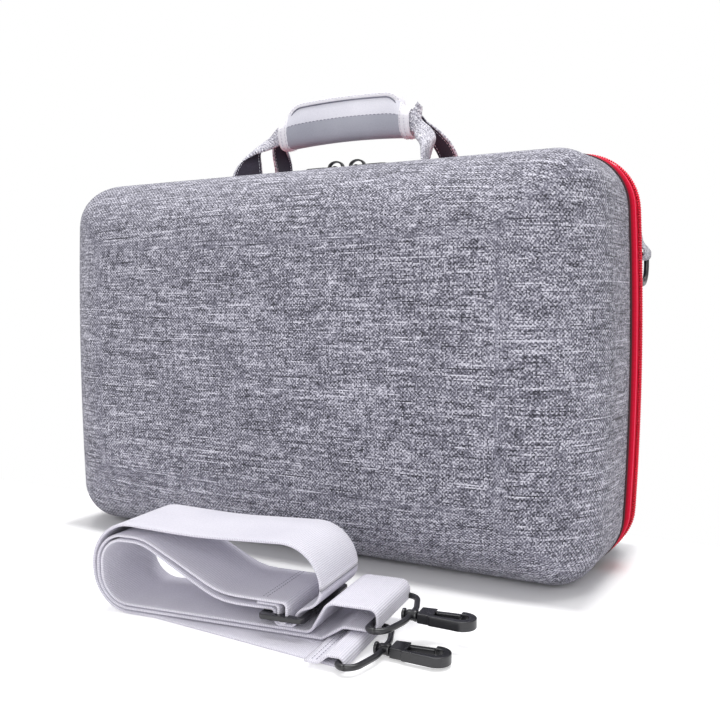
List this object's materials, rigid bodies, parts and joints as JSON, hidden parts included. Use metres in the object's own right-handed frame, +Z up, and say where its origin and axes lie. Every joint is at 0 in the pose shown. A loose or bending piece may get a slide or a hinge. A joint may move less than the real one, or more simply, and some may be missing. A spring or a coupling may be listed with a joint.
{
  "type": "console carrying bag",
  "caption": "Hard moulded clamshell carrying bag for a games console, zipped round three sides, with a padded top handle and a clip-on shoulder strap lying in front.",
  "frame": {"origin": "on the floor under the middle of the standing bag, strap left out", "axes": "+X to the viewer's right along the bag's width, +Y towards the back, +Z up; the front half faces -Y"},
  "size_m": [0.4014, 0.2793, 0.2987],
  "materials": {
    "heather_fabric": "woven heather fabric bonded to a moulded shell",
    "handle_webbing": "woven webbing",
    "grip_fabric": "smooth padded fabric",
    "zip_tape": "woven zip tape with coil",
    "dark_metal": "semi-gloss dark coating",
    "strap_webbing": "ribbed webbing",
    "foam": "soft foam with short pile"
  },
  "bodies": {
    "case": {"front_shell": "heather_fabric", "front_handle_web": "handle_webbing", "grip_wrap": "grip_fabric", "front_zip_tape": "zip_tape", "front_hinge_flap": "zip_tape", "foam_tray": "foam", "strap_webbing": "strap_webbing", "tri_glide": "dark_metal"},
    "lid": {"back_shell": "heather_fabric", "back_handle_web": "handle_webbing", "back_zip_tape": "zip_tape", "back_hinge_flap": "zip_tape", "lid_pad": "foam", "left_ring_tab": "handle_webbing", "right_ring_tab": "handle_webbing"},
    "slider_left": {"left_slider": "dark_metal"},
    "slider_right": {"right_slider": "dark_metal"},
    "pull_left": {"left_pull": "dark_metal"},
    "pull_right": {"right_pull": "dark_metal"},
    "d_ring_left": {"left_d_ring": "dark_metal"},
    "d_ring_right": {"right_d_ring": "dark_metal"},
    "ring_a": {"strap_ring_a": "dark_metal"},
    "ring_b": {"strap_ring_b": "dark_metal"},
    "snap_a": {"hook_a": "dark_metal"},
    "snap_b": {"hook_b": "dark_metal"},
    "latch_a": {"gate_a": "dark_metal"},
    "latch_b": {"gate_b": "dark_metal"}
  },
  "joints": [
    {"name": "lid_hinge", "type": "hinge", "parent": "case", "child": "lid", "pos_m": [0, 0.0155, 0], "axis": [-1, 0, 0], "range_deg": [0, 100]},
    {"name": "left_slider_run", "type": "slide", "parent": "case", "child": "slider_left", "axis": [-1, 0, 0], "range_m": [0, 0.135]},
    {"name": "right_slider_run", "type": "slide", "parent": "case", "child": "slider_right", "axis": [1, 0, 0], "range_m": [0, 0.135]},
    {"name": "left_pull_swing", "type": "hinge", "parent": "slider_left", "child": "pull_left", "pos_m": [-0.0085, 0.0155, 0.25545], "axis": [0, 1, 0], "range_deg": [0, 30]},
    {"name": "right_pull_swing", "type": "hinge", "parent": "slider_right", "child": "pull_right", "pos_m": [0.0085, 0.0155, 0.25545], "axis": [0, -1, 0], "range_deg": [0, 30]},
    {"name": "left_d_ring_swing", "type": "hinge", "parent": "lid", "child": "d_ring_left", "pos_m": [-0.19573, 0.0425, 0.191], "axis": [0, 1, 0], "range_deg": [0, 150]},
    {"name": "right_d_ring_swing", "type": "hinge", "parent": "lid", "child": "d_ring_right", "pos_m": [0.19573, 0.0425, 0.191], "axis": [0, -1, 0], "range_deg": [0, 150]},
    {"name": "ring_a_tilt", "type": "hinge", "parent": "case", "child": "ring_a", "pos_m": [0.11157, -0.17289, 0.0038], "axis": [0.1219, -0.9925, 0], "range_deg": [0, 8]},
    {"name": "ring_b_tilt", "type": "hinge", "parent": "case", "child": "ring_b", "pos_m": [0.11489, -0.15072, 0.013], "axis": [0.1219, -0.9925, 0], "range_deg": [0, 30]},
    {"name": "hook_a_swivel", "type": "hinge", "parent": "ring_a", "child": "snap_a", "pos_m": [0.11157, -0.17289, 0.0038], "axis": [0.9925, 0.1219, 0], "continuous": true},
    {"name": "hook_b_swivel", "type": "hinge", "parent": "ring_b", "child": "snap_b", "pos_m": [0.11489, -0.15072, 0.013], "axis": [0.9925, 0.1219, 0], "continuous": true},
    {"name": "gate_a_swing", "type": "hinge", "parent": "snap_a", "child": "latch_a", "pos_m": [0.13148, -0.16521, 0.0038], "axis": [0, 0, -1], "range_deg": [0, 20], "stiffness_Nm_per_rad": 0.02, "springref_deg": -11.46},
    {"name": "gate_b_swing", "type": "hinge", "parent": "snap_b", "child": "latch_b", "pos_m": [0.1348, -0.14304, 0.013], "axis": [0, 0, -1], "range_deg": [0, 20], "stiffness_Nm_per_rad": 0.02, "springref_deg": -11.46}
  ]
}
